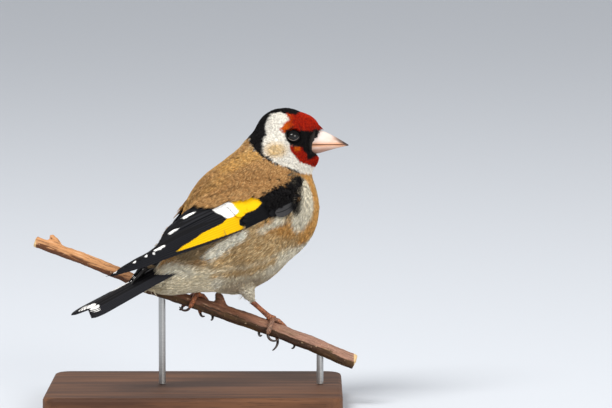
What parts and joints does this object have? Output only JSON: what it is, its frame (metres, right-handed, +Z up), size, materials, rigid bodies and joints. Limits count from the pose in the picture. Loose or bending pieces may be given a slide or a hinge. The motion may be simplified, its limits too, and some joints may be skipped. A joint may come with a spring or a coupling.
{
  "type": "songbird model",
  "caption": "Life-size perched songbird with folded wings, forked tail and conical bill, on a cut twig over a flat base with rods.",
  "frame": {"origin": "middle of the base's underside", "axes": "+Z up; the bird's bill points along +X, the twig runs along X, +Y is the side away from the picture's camera"},
  "size_m": [0.117, 0.074, 0.1075],
  "materials": {
    "plumage_body": "soft small feathers, warm brown back, buff flanks, whitish belly",
    "plumage_head": "fine short feathers: red face, black crown and lores, white cheek",
    "feathers_black": "black flight feathers with a yellow band and white tips",
    "eye": "glossy near-black",
    "bill": "smooth pale horn with a grey tip",
    "claw": "dark horn",
    "leg": "scaly reddish brown",
    "bark": "thin brown bark",
    "stand_wood": "dark oiled wood",
    "stand_steel": "brushed"
  },
  "bodies": {
    "root": {"bill_lower": "bill", "bill_upper": "bill", "claw_left_1": "claw", "claw_left_2": "claw", "claw_left_3": "claw", "claw_left_4": "claw", "claw_right_1": "claw", "claw_right_2": "claw", "claw_right_3": "claw", "claw_right_4": "claw", "eye_left": "eye", "eye_right": "eye", "foot_left": "leg", "foot_right": "leg", "head": "plumage_head", "leg_left": "leg", "leg_right": "leg", "neck": "plumage_head", "perch": "bark", "stand_base": "stand_wood", "stand_rod_front": "stand_steel", "stand_rod_rear": "stand_steel", "tail": "feathers_black", "thigh_left": "plumage_body", "thigh_right": "plumage_body", "torso": "plumage_body", "wing_left": "feathers_black", "wing_right": "feathers_black"}
  },
  "joints": []
}
